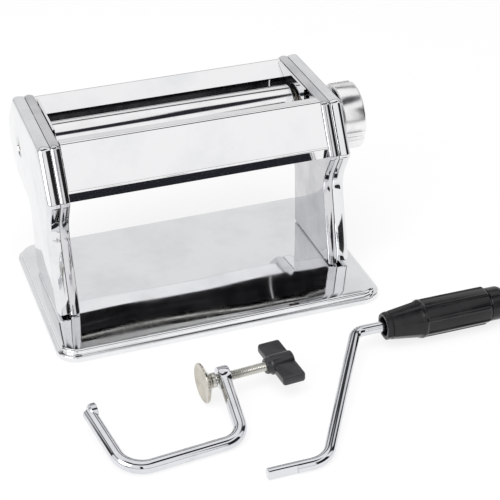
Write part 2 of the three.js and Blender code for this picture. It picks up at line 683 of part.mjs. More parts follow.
// the jaw face stands just clear of the rod's own side
const jawFace = onScrew(clampRodEndAt + clampRodRadius + 0.4);
const clampRod = bentRod([
  [rodStart.x, rodStart.y, rodStart.z],
  [clampEyeX - 68.4, clampEyeY - 51.6, clampRodRadius, 15],
  [clampEyeX - 3.4, clampEyeY - 45.2, clampRodRadius, 13],
  [clampEye.x, clampEye.y - 2, clampEye.z],
], clampRodRadius, 12);
const eyeDisc = turned(
  [[-3.2, 0], [-3.2, 5.9], [-2.4, 6.6], [2.4, 6.6], [3.2, 5.9], [3.2, 0]], clampEye, clampU, 20);
const jawDisc = turned([
  [-4.6, 0], [-4.6, clampFaceRadius - 1.2], [-3.4, clampFaceRadius], [0, clampFaceRadius], [0, 0],
], jawFace, clampU, 18);
const threadHole = pin(onScrew(-30), clampU, 60, clampScrewRadius + gap, 16);
const rodAway = cut(clampRod, pin(onScrew(-12), clampU, 24, clampScrewRadius + gap, 16));
add('clamp_frame', join(cut(join(rodAway, eyeDisc), threadHole), jawDisc), 'chrome');

const padAt = onScrew(clampPadAt);
add('clamp_pad', turned([
  [1.6, 0], [1.6, 4.4], [0.6, 6], [-2.4, clampPadRadius], [-3.4, clampPadRadius],
  [-3.4, clampPadRadius - 0.9], [-1, 6.2], [-0.2, 3], [-0.2, 0],
].reverse(), padAt, clampU, 28), 'nickel');
add('clamp_screw', join(
  pin(onScrew(clampPadAt + 1.6 + gap), clampU, 3.2, 4.2, 6),
  pin(onScrew(clampPadAt + 1.6 + gap), clampU,
    clampKnobAt - clampPadAt + 6.2, clampScrewRadius, 14)), 'zinc');

// T shaped knob: two flat wings and a round hub along the screw
const wing = slabZ(rounded([
  [0.6, -clampKnobSpan / 2, 1.6], [clampKnobDepth, -clampKnobSpan / 2, 1.6],
  [clampKnobDepth, clampKnobSpan / 2, 1.6], [0.6, clampKnobSpan / 2, 1.6],
]), -clampKnobThick / 2, clampKnobThick / 2, 0.8);
const hub = turned([
  [-2.6, 0], [-2.6, 4.4], [0, 4.8], [0.8, clampHubRadius], [clampKnobDepth - 0.6, clampHubRadius],
  [clampKnobDepth, clampHubRadius - 0.6], [clampKnobDepth, 0],
], V3(0, 0, 0), tieX, 18);
const knobAt = onScrew(clampKnobAt);
const screwBore = pin(onScrew(clampKnobAt - 5), clampU, 13.6, clampScrewRadius + 0.2, 14);
add('clamp_knob', cut(
  wing.add(hub).rotate([0, 0, clampTurn]).translate([knobAt.x, knobAt.y, knobAt.z]),
  screwBore), 'black');

// the origin is the middle of the whole set, on the table
const bounds = new THREE.Box3().setFromObject(group);
const middle = bounds.getCenter(V3());
group.children.forEach((mesh) => mesh.geometry.translate(-middle.x, -middle.y, -bounds.min.z));

export default group;
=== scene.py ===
import math

import bmesh
import bpy
from mathutils import Matrix, Vector


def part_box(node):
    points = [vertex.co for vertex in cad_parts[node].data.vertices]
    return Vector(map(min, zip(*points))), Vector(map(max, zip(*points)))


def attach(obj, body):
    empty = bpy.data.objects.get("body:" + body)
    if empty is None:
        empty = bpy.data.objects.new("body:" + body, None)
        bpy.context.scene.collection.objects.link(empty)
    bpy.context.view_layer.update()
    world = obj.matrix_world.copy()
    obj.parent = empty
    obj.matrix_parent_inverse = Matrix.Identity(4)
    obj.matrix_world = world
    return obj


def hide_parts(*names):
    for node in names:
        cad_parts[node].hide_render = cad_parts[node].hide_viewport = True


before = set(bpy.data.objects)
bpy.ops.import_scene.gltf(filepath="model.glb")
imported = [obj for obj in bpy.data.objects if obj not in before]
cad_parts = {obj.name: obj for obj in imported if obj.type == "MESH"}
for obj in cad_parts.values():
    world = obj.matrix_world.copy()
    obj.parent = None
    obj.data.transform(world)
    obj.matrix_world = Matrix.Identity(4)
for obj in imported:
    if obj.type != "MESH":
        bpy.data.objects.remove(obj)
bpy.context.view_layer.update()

# ---- studio ---------------------------------------------------------------------
# A white sweep of paper under the set, lit by a broad soft ceiling and a side
# panel, with dark flags standing around it that show only in polished metal.
MM = 0.001
base_low, base_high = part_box("base_plate")
machine = Vector(((base_low.x + base_high.x) / 2, (base_low.y + base_high.y) / 2, 0))


def at(x, y, z):
    """A point of the machine, in mm from the middle of its base plate on the table."""
    return machine + Vector((x, y, z)) * MM


view_azimuth, view_height, view_roll = -18.24, 30.62, -1.23
camera_data = bpy.data.cameras.new("camera")
camera_data.sensor_width = 36
camera_data.lens = 105.8
camera_data.clip_start = 0.05
camera = bpy.data.objects.new("camera", camera_data)
bpy.context.scene.collection.objects.link(camera)
camera.matrix_world = Matrix.Translation(at(-211.56, -753.96, 481.55)) @ (
    Matrix.Rotation(math.radians(view_azimuth), 4, "Z")
    @ Matrix.Rotation(math.radians(90 - view_height), 4, "X")
    @ Matrix.Rotation(math.radians(view_roll), 4, "Z"))
bpy.context.scene.camera = camera
bpy.context.scene.view_settings.view_transform = "Standard"

# PAPER_GLOW is how far the paper is plain white to the eye and in polished metal
PAPER_TONE, PAPER_GLOW, FLOOR_HALF = 0.86, 0.8, 4
paper = bpy.data.materials.new("white_paper")
paper.use_nodes = True
tree = paper.node_tree
tree.nodes.clear()
paper_out = tree.nodes.new("ShaderNodeOutputMaterial")
paper_mix = tree.nodes.new("ShaderNodeMixShader")
paper_plain = tree.nodes.new("ShaderNodeBsdfDiffuse")
paper_plain.inputs["Color"].default_value = (PAPER_TONE, PAPER_TONE, PAPER_TONE, 1)
paper_white = tree.nodes.new("ShaderNodeEmission")
paper_white.inputs["Strength"].default_value = 1
seen = tree.nodes.new("ShaderNodeLightPath")
seen_any = tree.nodes.new("ShaderNodeMath")
seen_any.operation = "MAXIMUM"
seen_part = tree.nodes.new("ShaderNodeMath")
seen_part.operation = "MULTIPLY"
seen_part.inputs[1].default_value = PAPER_GLOW
tree.links.new(seen.outputs["Is Camera Ray"], seen_any.inputs[0])
tree.links.new(seen.outputs["Is Glossy Ray"], seen_any.inputs[1])
tree.links.new(seen_any.outputs[0], seen_part.inputs[0])
tree.links.new(seen_part.outputs[0], paper_mix.inputs["Fac"])
tree.links.new(paper_plain.outputs[0], paper_mix.inputs[1])
tree.links.new(paper_white.outputs[0], paper_mix.inputs[2])
tree.links.new(paper_mix.outputs[0], paper_out.inputs["Surface"])
floor_mesh = bpy.data.meshes.new("paper_floor")
floor_corners = [(x * FLOOR_HALF, y * FLOOR_HALF, 0) for x, y in ((-1, -1), (1, -1), (1, 1), (-1, 1))]
floor_mesh.from_pydata(floor_corners, [], [(0, 1, 2, 3)])
floor_mesh.materials.append(paper)
floor = bpy.data.objects.new("paper_floor", floor_mesh)
bpy.context.scene.collection.objects.link(floor)

# the room: white, with dark flags that only mirror-like surfaces pick up
ROOM_LIGHT = 0.75
WHITE, CANOPY_DARK = (1, 1, 1, 1), (0.02, 0.021, 0.027, 1)
world = bpy.data.worlds.new("studio")
bpy.context.scene.world = world
world.use_nodes = True
tree = world.node_tree
tree.nodes.clear()
world_out = tree.nodes.new("ShaderNodeOutputWorld")
world_light = tree.nodes.new("ShaderNodeBackground")
world_flags = tree.nodes.new("ShaderNodeBackground")
world_white = tree.nodes.new("ShaderNodeBackground")
world_light.inputs["Color"].default_value = WHITE
world_light.inputs["Strength"].default_value = ROOM_LIGHT
world_white.inputs["Strength"].default_value = 1
world_white.inputs["Color"].default_value = WHITE
where = tree.nodes.new("ShaderNodeTexCoord")
split = tree.nodes.new("ShaderNodeSeparateXYZ")
tree.links.new(where.outputs["Generated"], split.inputs[0])


def room_math(kind, first, second):
    """One sum in the room; each input is a number or a socket."""
    node = tree.nodes.new("ShaderNodeMath")
    node.operation = kind
    for socket, value in zip(node.inputs, (first, second)):
        if isinstance(value, (int, float)):
            socket.default_value = value
        else:
            tree.links.new(value, socket)
    return node.outputs[0]


def room_ramp(value, low, high, stops):
    """Grey levels along a direction of the room; stops are (value, level)."""
    place = tree.nodes.new("ShaderNodeMapRange")
    place.inputs["From Min"].default_value = low
    place.inputs["From Max"].default_value = high
    tree.links.new(value, place.inputs["Value"])
    node = tree.nodes.new("ShaderNodeValToRGB")
    elements = node.color_ramp.elements
    while len(elements) < len(stops):
        elements.new(0.5)
    for element, (at_value, level) in zip(elements, stops):
        element.position = (at_value - low) / (high - low)
        element.color = (level, level, level, 1)
    tree.links.new(place.outputs[0], node.inputs["Fac"])
    return node.outputs["Color"]


height = split.outputs["Z"]
bearing = room_math("ARCTAN2", split.outputs["X"], split.outputs["Y"])
# grey levels by height, in the half of the room behind the camera and in the far half
near_side = room_ramp(height, -1, 1, [
    (-1, 0.9), (-0.06, 0.9), (-0.03, 0.03), (0.05, 0.03), (0.09, 0.95), (0.60, 1.0), (1, 0.95)])
far_side = room_ramp(height, -1, 1, [
    (-1, 0.9), (-0.04, 0.9), (0.0, 0.55), (0.1, 0.8), (0.35, 0.93), (0.55, 0.9), (0.60, 0.95),
    (0.64, 0.05), (0.72, 0.04), (0.76, 0.95), (0.90, 1.0), (1, 0.95)])
far_share = room_ramp(split.outputs["Y"], -1, 1, [(-0.1, 0), (0.06, 1)])
# upright flags by bearing, which stand on the floor and end at low_down
upright = room_ramp(bearing, -math.pi, math.pi, [
    (-2.97, 1), (-2.94, 0.02), (-2.82, 0.02), (-2.79, 1), (-2.32, 1), (-2.28, 0.03), (-2.08, 0.02),
    (-2.04, 1), (-1.25, 1), (-1.2, 0.06), (-1.1, 0.05), (-1.05, 0.9), (1.2, 0.9), (1.26, 0.03),
    (1.5, 0.02), (1.56, 0.95), (1.88, 1), (1.92, 0.02), (2.67, 0.02), (2.71, 1)])
low_down = room_ramp(height, -1, 1, [(0.6, 1), (0.66, 0)])
# a dark canopy high in front
canopy_height = room_ramp(height, -1, 1, [(0.83, 0), (0.86, 1), (0.968, 1), (0.976, 0)])
canopy_bearing = room_ramp(bearing, -math.pi, math.pi, [(-1.7, 1), (-1.5, 0), (1.5, 0), (1.7, 1)])


def room_mix(share, first, second):
    """Goes from the first tone to the second by share; each is a colour or a socket."""
    node = tree.nodes.new("ShaderNodeMix")
    node.data_type = "RGBA"
    tree.links.new(share, node.inputs[0])
    for socket, value in ((node.inputs[6], first), (node.inputs[7], second)):
        if isinstance(value, tuple):
            socket.default_value = value
        else:
            tree.links.new(value, socket)
    return node.outputs[2]


canopy = room_math("MULTIPLY", canopy_height, canopy_bearing)
walls = room_mix(canopy, room_mix(far_share, near_side, far_side), CANOPY_DARK)
strips = room_mix(low_down, WHITE, upright)
both = tree.nodes.new("ShaderNodeMix")
both.data_type = "RGBA"
both.blend_type = "MULTIPLY"
both.inputs[0].default_value = 1
tree.links.new(walls, both.inputs[6])
tree.links.new(strips, both.inputs[7])
tree.links.new(both.outputs[2], world_flags.inputs["Color"])
seen = tree.nodes.new("ShaderNodeLightPath")
glossy_mix = tree.nodes.new("ShaderNodeMixShader")
camera_mix = tree.nodes.new("ShaderNodeMixShader")
tree.links.new(seen.outputs["Is Glossy Ray"], glossy_mix.inputs["Fac"])
tree.links.new(world_light.outputs[0], glossy_mix.inputs[1])
tree.links.new(world_flags.outputs[0], glossy_mix.inputs[2])
tree.links.new(seen.outputs["Is Camera Ray"], camera_mix.inputs["Fac"])
tree.links.new(glossy_mix.outputs[0], camera_mix.inputs[1])
tree.links.new(world_white.outputs[0], camera_mix.inputs[2])
tree.links.new(camera_mix.outputs[0], world_out.inputs["Surface"])

# the ceiling lights the set, but isn't mirrored in the metal
for name, place, size, power in (("ceiling", (-0.2, -0.35, 1.1), 1.1, 9),
                                 ("side", (-1.0, -0.5, 0.6), 0.7, 5)):
    lamp_data = bpy.data.lights.new(name, "AREA")
    lamp_data.shape = "SQUARE"
    lamp_data.size = size
    lamp_data.energy = power
    lamp = bpy.data.objects.new(name, lamp_data)
    lamp.location = place
    lamp.visible_glossy = name != "ceiling"
    lamp.rotation_euler = (-Vector(place)).to_track_quat("-Z", "Y").to_euler()
    bpy.context.scene.collection.objects.link(lamp)

# ---- base plate ---------------------------------------------------------------------
# Pressed from one steel sheet with a border in two steps, polished and chromed.
# Four rubber feet sit under its corners, and screws come up through it into the legs.
SHEET = 1.2
BASE_WIDTH, BASE_DEPTH, BASE_CORNER = 200, 134, 13
# half angles from here up, in radians, are too flat to round
NEARLY_STRAIGHT = 1.56
SMALLEST_ROUND, WELD, SPECK = 0.35, 1e-6, 1e-7


def rounded(corners, step=6):
    """Corners (a, b, radius) of a closed outline, as points with round corners."""
    points = []
    count = len(corners)
    for i, (a, b, r) in enumerate(corners):
        here = Vector((a, b))
        back = (Vector(corners[i - 1][:2]) - here).normalized()
        ahead = (Vector(corners[(i + 1) % count][:2]) - here).normalized()
        half = math.acos(max(-1, min(1, back.dot(ahead)))) / 2
        if not r or half > NEARLY_STRAIGHT:
            points.append(here)
            continue
        middle = here + (back + ahead).normalized() * (r / math.sin(half))
        start = here + back * (r / math.tan(half)) - middle
        end = here + ahead * (r / math.tan(half)) - middle
        turn = math.atan2(start.x * end.y - start.y * end.x, start.dot(end))
        steps = max(2, math.ceil(abs(turn) / math.radians(step)))
        for k in range(steps + 1):
            angle = turn * k / steps
            spun = Vector((start.x * math.cos(angle) - start.y * math.sin(angle),
                           start.x * math.sin(angle) + start.y * math.cos(angle)))
            points.append(middle + spun)
    return points


def inset(corners, d):
    """The same corners moved inwards by d."""
    moved = []
    count = len(corners)
    for i, (a, b, r) in enumerate(corners):
        here = Vector((a, b))
        arriving = (here - Vector(corners[i - 1][:2])).normalized()
        leaving = (Vector(corners[(i + 1) % count][:2]) - here).normalized()
        n1, n2 = Vector((-arriving.y, arriving.x)), Vector((-leaving.y, leaving.x))
        move = (n1 + n2) * (d / (1 + n1.dot(n2)))
        convex = arriving.x * leaving.y - arriving.y * leaving.x > 0
        moved.append((a + move.x, b + move.y, max(r + (-d if convex else d), SMALLEST_ROUND)))
    return moved


def quarter(d0, z0, d1, z1, bulge, steps=6):
    """Points on a quarter turn from (d0, z0) to (d1, z1), leaving along d or along z."""
    points = []
    for k in range(1, steps + 1):
        a = k / steps * math.pi / 2
        s, c = math.sin(a), 1 - math.cos(a)
        u, v = (s, c) if bulge == "d" else (c, s)
        points.append((d0 + (d1 - d0) * u, z0 + (z1 - z0) * v))
    return points


def piece_from(name, points, faces, material=None, body=None, slot=None, nodes=(), sharp=32):
    """A finished mesh piece from points in metres, riding on a body unless it is a cutter."""
    mesh = bpy.data.meshes.new(name)
    mesh.from_pydata([tuple(p) for p in points], [], faces)
    shape = bmesh.new()
    shape.from_mesh(mesh)
    bmesh.ops.remove_doubles(shape, verts=shape.verts, dist=WELD)
    bmesh.ops.dissolve_degenerate(shape, edges=shape.edges, dist=SPECK)
    # welding can lose a sliver between two nearly equal points
    bmesh.ops.holes_fill(shape, edges=[edge for edge in shape.edges if edge.is_boundary], sides=0)
    bmesh.ops.recalc_face_normals(shape, faces=shape.faces)
    shape.to_mesh(mesh)
    shape.free()
    mesh.shade_smooth()
    mesh.set_sharp_from_angle(angle=math.radians(sharp))
    piece = bpy.data.objects.new(name, mesh)
    bpy.context.scene.collection.objects.link(piece)
    if material:
        mesh.materials.append(material)
    if body:
        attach(piece, body)
    if nodes:
        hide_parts(*nodes)
    return piece


def loft(name, rings, *rest, loop=False, **more):
    """Skin over rings of equal count, capped at both ends or closed on itself."""
    n = len(rings[0])
    points = [p for ring in rings for p in ring]
    faces = []
    spans = len(rings) if loop else len(rings) - 1
    for i in range(spans):
        j = (i + 1) % len(rings)
        for k in range(n):
            m = (k + 1) % n
            faces.append((i * n + k, i * n + m, j * n + m, j * n + k))
    if not loop:
        faces.append(tuple(reversed(range(n))))
        faces.append(tuple(range(len(points) - n, len(points))))
    return piece_from(name, points, faces, *rest, **more)


def new_group(name, inputs, outputs):
    """An empty shader node group with named sockets."""
    group = bpy.data.node_groups.new(name, "ShaderNodeTree")
    for label, default in inputs:
        socket = group.interface.new_socket(name=label, in_out="INPUT", socket_type="NodeSocketFloat")
        socket.default_value = default
    for label in outputs:
        group.interface.new_socket(name=label, in_out="OUTPUT", socket_type="NodeSocketFloat")
    return group, group.nodes.new("NodeGroupInput"), group.nodes.new("NodeGroupOutput")


def noise_in(group, scale_from, detail, rough=0.5):
    """A noise texture in a group, in the piece's own coordinates."""
    place = group.nodes.new("ShaderNodeTexCoord")
    noise = group.nodes.new("ShaderNodeTexNoise")
    noise.inputs["Detail"].default_value = detail
    noise.inputs["Roughness"].default_value = rough
    group.links.new(place.outputs["Object"], noise.inputs["Vector"])
    group.links.new(scale_from, noise.inputs["Scale"])
    return noise.outputs["Fac"]


# polishing haze and finger marks: a cloudy mask, and the roughness that it adds
marks, marks_in, marks_out = new_group(
    "handling_marks", (("Scale", 40), ("Clean", 0.04), ("Marked", 0.12)), ("Mask", "Roughness"))
cloud = noise_in(marks, marks_in.outputs["Scale"], 5, 0.6)
marks_range = marks.nodes.new("ShaderNodeMapRange")
marks_range.inputs["From Min"].default_value = 0.45
marks_range.inputs["From Max"].default_value = 0.72
marks.links.new(cloud, marks_range.inputs["Value"])
marks_rough = marks.nodes.new("ShaderNodeMapRange")
marks.links.new(marks_range.outputs[0], marks_rough.inputs["Value"])
marks.links.new(marks_in.outputs["Clean"], marks_rough.inputs["To Min"])
marks.links.new(marks_in.outputs["Marked"], marks_rough.inputs["To Max"])
marks.links.new(marks_range.outputs[0], marks_out.inputs["Mask"])
marks.links.new(marks_rough.outputs[0], marks_out.inputs["Roughness"])

# the slow waves that pressing and polishing leave in sheet metal
waves, waves_in, waves_out = new_group("sheet_waves", (("Scale", 14),), ("Height",))
waves.links.new(noise_in(waves, waves_in.outputs["Scale"], 1), waves_out.inputs["Height"])


def finish_with(name, low, high, clean, marked, mark_scale, metallic,
                height_group, height_scale, height_mm, coat=0.0, specular=0.5):
    """A finish from two tones, handling marks and a surface relief."""
    material = bpy.data.materials.new(name)
    material.use_nodes = True
    tree = material.node_tree
    shader = tree.nodes["Principled BSDF"]
    shader.inputs["Metallic"].default_value = metallic
    shader.inputs["Coat Weight"].default_value = coat
    shader.inputs["Specular IOR Level"].default_value = specular
    marks_node = tree.nodes.new("ShaderNodeGroup")
    marks_node.node_tree = marks
    marks_node.inputs["Scale"].default_value = mark_scale
    marks_node.inputs["Clean"].default_value = clean
    marks_node.inputs["Marked"].default_value = marked
    tone = tree.nodes.new("ShaderNodeMix")
    tone.data_type = "RGBA"
    tone.inputs[6].default_value = (*high, 1)
    tone.inputs[7].default_value = (*low, 1)
    tree.links.new(marks_node.outputs["Mask"], tone.inputs[0])
    tree.links.new(tone.outputs[2], shader.inputs["Base Color"])
    tree.links.new(marks_node.outputs["Roughness"], shader.inputs["Roughness"])
    relief = tree.nodes.new("ShaderNodeGroup")
    relief.node_tree = height_group
    relief.inputs["Scale"].default_value = height_scale
    bump = tree.nodes.new("ShaderNodeBump")
    bump.inputs["Strength"].default_value = 1
    bump.inputs["Distance"].default_value = height_mm * MM
    tree.links.new(relief.outputs["Height"], bump.inputs["Height"])
    tree.links.new(bump.outputs["Normal"], shader.inputs["Normal"])
    return material


def dress(node, material):
    """Gives a CAD node its finish."""
    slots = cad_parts[node].data.materials
    slots.clear()
    slots.append(material)


plate_chrome = finish_with("plate_chrome", (0.78, 0.79, 0.81), (0.86, 0.87, 0.88), 0.03, 0.09, 30,
                           1.0, waves, 11, 0.9)


def plate_corners(d):
    """The plate's outline from above, moved in by d."""
    w, h = BASE_WIDTH / 2, BASE_DEPTH / 2
    square = [(w, -h, BASE_CORNER), (w, h, BASE_CORNER), (-w, h, BASE_CORNER), (-w, -h, BASE_CORNER)]
    return rounded(inset(square, d), 5)


# how far in and how high, from the underside out over the two steps to the top
plate_profile = [
    (3.8, 5.8), (3.6, 5.6), (3.6, 2.6), (1.2, 2.6), (1.2, 0.8), (1.0, 0.6), (0.2, 0.6), (0.0, 0.8),
    (0.0, 3.0), *quarter(0.0, 3.0, 0.8, 3.8, "z"), (2.0, 3.8), *quarter(2.0, 3.8, 2.4, 4.2, "d", 4),
    (2.4, 5.4), *quarter(2.4, 5.4, 4.4, 6.9, "z", 8), (9.0, 7.0)]
loft("base_plate_pressing", [[at(p.x, p.y, z) for p in plate_corners(d)] for d, z in plate_profile],
     plate_chrome, "machine", "chrome", nodes=("base_plate",))

grain, grain_in, grain_out = new_group("fine_grain", (("Scale", 900),), ("Height",))
grain.links.new(noise_in(grain, grain_in.outputs["Scale"], 3), grain_out.inputs["Height"])
foot_rubber = finish_with("foot_rubber", (0.05, 0.05, 0.05), (0.03, 0.03, 0.03), 0.7, 0.85, 80,
                          0, grain, 1200, 0.03)
zinc_plate = finish_with("zinc_plate", (0.52, 0.51, 0.47), (0.66, 0.65, 0.61), 0.2, 0.34, 120,
                         1.0, grain, 700, 0.01)
for corner in range(1, 5):
    dress(f"rubber_foot_{corner}", foot_rubber)
    dress(f"leg_screw_{corner}", zinc_plate)

# ---- side panels ----------------------------------------------------------------------
# Each side is two steel pressings edge to edge: a flat inner frame that carries the
# rollers and a deep outer cover over it, both chromed, with a fine seam between them.
FRAME_FACE, SEAM_X, COVER_X, OUTER_X = 79, 84.6, 84.9, 92.5
FRAME_FOOT, COVER_FOOT = 7.3, 8.6
SCREW_Y, SCREW_Z = 52.5, 82.5
REAR_Y, FRONT_Y, ROLLER_Z = 32.5, 5.5, 91.5
GAP_OPENS = 2
BUSH_HOLE, FRAME_SCREW_HOLE, COVER_SCREW_HOLE = 8.6, 3.2, 3.4
DRIVE_HOLE, SPINDLE_HOLE = 6.6, 4.3
COVER_EDGE, CROWN_END, CROWN_STEPS = 3.4, 3.7, 8
SEAM_LIP, FRAME_LIP, HALF_TURN_STEPS = 0.61, 0.9, 48


def panel_corners(foot):
    """The panel's outline from the side: leg at the bottom, head above it."""
    return [(33.5, foot, 0.8), (33.5, 53, 10), (70, 55.5, 12), (85, 70, 10), (85, 90, 10), (62, 112, 5),
            (-13.5, 112, 4), (-30.5, 82, 4), (-17.5, 61, 22), (-29, foot, 0.8)]


def across(side, x, outline):
    """An outline seen from the side, stood up at x on the left or the right."""
    return [at(side * x, p.x, p.y) for p in outline]


def panel_rings(side, foot, edge):
    """Rings of a pressed side: its outline, moved in by d at each x of the edge."""
    return [across(side, x, rounded(inset(panel_corners(foot), d))) for d, x in edge]


def lathe(name, profile, origin, axis, *rest, segments=64, **more):
    """A turned piece: profile (distance along the axis, radius), in mm."""
    axis = Vector(axis).normalized()
    side = axis.cross(Vector((0, 0, 1))).normalized()
    up = side.cross(axis)
    rings = []
    for along, radius in profile:
        rings.append([origin + (axis * along + side * max(radius, 0) * math.cos(a)
                                + up * max(radius, 0) * math.sin(a)) * MM
                      for a in (2 * math.pi * k / segments for k in range(segments))])
    loop = profile[0] == profile[-1]
    return loft(name, rings[:-1] if loop else rings, *rest, loop=loop, **more)


def carve(piece, tools, how="DIFFERENCE", sharp=32):
    """Cuts tools out of a piece, or joins them to it."""
    for tool in tools:
        modifier = piece.modifiers.new("carve", "BOOLEAN")
        modifier.operation = how
        modifier.solver = "MANIFOLD"
        modifier.object = tool
    bpy.context.view_layer.update()
    done = bpy.data.meshes.new_from_object(piece.evaluated_get(bpy.context.evaluated_depsgraph_get()))
    piece.modifiers.clear()
    piece.data = done
    done.shade_smooth()
    done.set_sharp_from_angle(angle=math.radians(sharp))
    for tool in tools:
        bpy.data.objects.remove(tool)


def drill(origin, axis, length, radius):
    """A round cutter."""
    return lathe("cutter", [(0, 0), (0, radius), (length, radius), (length, 0)], origin, axis, segments=48)


def crowned(x0, x1, rise=0.6, steps=12):
    """The slight crown of a pressed rim, as (how far in, x)."""
    points = []
    for k in range(steps + 1):
        t = 2 * k / steps - 1
        points.append((0.001 + rise * t * t, x0 + (x1 - x0) * k / steps))
    return points


panel_chrome = finish_with("panel_chrome", (0.70, 0.71, 0.73), (0.80, 0.81, 0.82), 0.035, 0.12, 45,
                           1.0, waves, 18, 0.45)
frame_chrome = finish_with("frame_chrome", (0.50, 0.51, 0.53), (0.66, 0.66, 0.68), 0.05, 0.16, 38,
                           1.0, waves, 18, 0.4)
for side, word in ((-1, "left"), (1, "right")):
    out = (side, 0, 0)
    frame_edge = [(SHEET, FRAME_FACE + SHEET + 0.4), (SHEET, SEAM_X), (FRAME_LIP, SEAM_X)]
    frame_edge += quarter(FRAME_LIP, SEAM_X, SEAM_LIP, SEAM_X - 0.29, "d", 3)
    frame_edge += crowned(SEAM_X - 0.3, FRAME_FACE + FRAME_LIP)
    frame_edge += quarter(SEAM_LIP, FRAME_FACE + FRAME_LIP, 1.5, FRAME_FACE, "z", 5)
    inner = loft(f"inner_frame_pressing_{word}", panel_rings(side, FRAME_FOOT, frame_edge), frame_chrome,
                 "machine", "chrome", nodes=(f"inner_frame_{word}",))
    # the front roller's hole is a slot, along which its bush moves as the gap opens
    slot_points = []
    for turn_from, y in ((math.pi / 2, FRONT_Y - GAP_OPENS), (-math.pi / 2, FRONT_Y)):
        for k in range(HALF_TURN_STEPS + 1):
            a = turn_from + math.pi * k / HALF_TURN_STEPS
            slot_points.append(Vector((y + BUSH_HOLE * math.cos(a), ROLLER_Z + BUSH_HOLE * math.sin(a))))
    carve(inner, [drill(at(side * (FRAME_FACE - 2), REAR_Y, ROLLER_Z), out, 6, BUSH_HOLE),
                  loft("cutter", [across(side, x, slot_points) for x in (FRAME_FACE - 2, FRAME_FACE + 4)]),
                  drill(at(side * (FRAME_FACE - 2), SCREW_Y, SCREW_Z), out, 6, FRAME_SCREW_HOLE)])

    # the cover's wall stops COVER_EDGE short of its face, in a wide round
    cover_edge = [(SHEET + 3.2, OUTER_X - SHEET), (SHEET + 0.5, OUTER_X - COVER_EDGE), (1.4, COVER_X),
                  (0.9, COVER_X)]
    cover_edge += quarter(0.9, COVER_X, SEAM_LIP, COVER_X + 0.29, "d", 3)
    cover_edge += [(0.6 * (1 - t / CROWN_STEPS) ** 2 + 0.001,
                    COVER_X + 0.3 + (OUTER_X - CROWN_END - COVER_X) * t / CROWN_STEPS)
                   for t in range(CROWN_STEPS + 1)]
    cover_edge += quarter(0.001, OUTER_X - COVER_EDGE, 3.2, OUTER_X, "z", 9)
    cover = loft(f"outer_cover_pressing_{word}", panel_rings(side, COVER_FOOT, cover_edge), panel_chrome,
                 "machine", "chrome", nodes=(f"outer_cover_{word}",))
    carve(cover, [lathe("cutter", [(0, 0), (0, 7.2), (2.6, 8.2), (2.6, 0)],
                        at(side * (OUTER_X - COVER_EDGE), SCREW_Y, SCREW_Z), out)], "UNION")
    dimple = [(0, 0), (0, 6), (1.5, 6.3), (2.0, 6.6), (2.2, 7.2), (4, 7.4), (4, 0)]
    cuts = [lathe("cutter", dimple, at(side * (OUTER_X - 2.2), SCREW_Y, SCREW_Z), out),
            drill(at(side * (COVER_X - 1), SCREW_Y, SCREW_Z), out, 12, COVER_SCREW_HOLE)]
    if word == "right":
        cuts += [drill(at(COVER_X - 1, REAR_Y, ROLLER_Z), out, 12, DRIVE_HOLE),
                 drill(at(COVER_X - 1, FRONT_Y, ROLLER_Z), out, 12, SPINDLE_HOLE)]
    # the dimple meets the face at 18 degrees, and that edge stays crisp
    carve(cover, cuts, sharp=16)

# ---- cover screws and tie rods ------------------------------------------------------------
# Two round steel rods hold the sides apart. A zinc plated cross-head screw in a shallow
# dimple of each cover goes through the frame into the end of the rear rod.
CROSS_LONG, CROSS_THIN = 5.6, 1.1
dress("tie_rod_rear", zinc_plate)
dress("tie_rod_front", zinc_plate)
for side, word in ((-1, "left"), (1, "right")):
    screw = lathe(f"cross_head_screw_{word}",
                  [(-21.2, 0), (-21.2, 2.0), (-20.9, 2.3), (0, 2.3), (0, 5.2), (0.2, 5.4), (0.6, 5.3),
                   (1.1, 4.8), (1.5, 4.0), (1.75, 2.8), (1.8, 1.6), (1.8, 0)],
                  at(side * (OUTER_X - 1.9), SCREW_Y, SCREW_Z), (side, 0, 0), zinc_plate, "machine", "zinc",
                  nodes=(f"cover_screw_{word}",), segments=48)
    cuts = []
    for wide, tall in ((CROSS_LONG, CROSS_THIN), (CROSS_THIN, CROSS_LONG)):
        blade = [Vector((SCREW_Y + y * wide / 2, SCREW_Z + z * tall / 2))
                 for y, z in ((-1, -1), (1, -1), (1, 1), (-1, 1))]
        cuts.append(loft("cutter", [across(side, x, blade) for x in (OUTER_X - 1.1, OUTER_X + 1)]))
    carve(screw, cuts)

# ---- sheets between the sides ----------------------------------------------------------------
# Bright chromed sheet, folded along its length: the front cover, the sloping hopper plate
# behind the rollers, the rear cover, and a thin guide cheek at each end of the hopper.
SHEET_END, CHEEK_IN, CHEEK_OUT = 78.7, 77.0, 78.4


def folded(line, thick=1.0, step=5):
    """A folded sheet seen from its end: outer line (a, b, radius), thickened to its right."""
    outer, inner = [], []
    for i, (a, b, r) in enumerate(line):
        here = Vector((a, b))
        before = (here - Vector(line[i - 1][:2])).normalized() if i else None
        after = (Vector(line[i + 1][:2]) - here).normalized() if i < len(line) - 1 else None
        d1, d2 = before or after, after or before
        n1, n2 = Vector((d1.y, -d1.x)), Vector((d2.y, -d2.x))
        move = (n1 + n2) * (thick / (1 + n1.dot(n2)))
        opens = d1.x * d2.y - d1.y * d2.x > 0
        outer.append((a, b, r))
        inner.append((a + move.x, b + move.y, max(r + (thick if opens else -thick), 0.3) if r else 0))
    return rounded(outer + inner[::-1], step)


sheet_chrome = finish_with("sheet_chrome", (0.80, 0.81, 0.83), (0.88, 0.88, 0.89), 0.03, 0.08, 25,
                           1.0, waves, 9, 0.25)
# painted shade: the sheets' inner faces get a near-black colour that stands in for the shade inside the
# machine, with a rough unpolished finish
inside_steel = finish_with("inside_steel", (0.03, 0.03, 0.034), (0.07, 0.07, 0.075), 0.4, 0.55, 60,
                           1.0, grain, 900, 0.01)


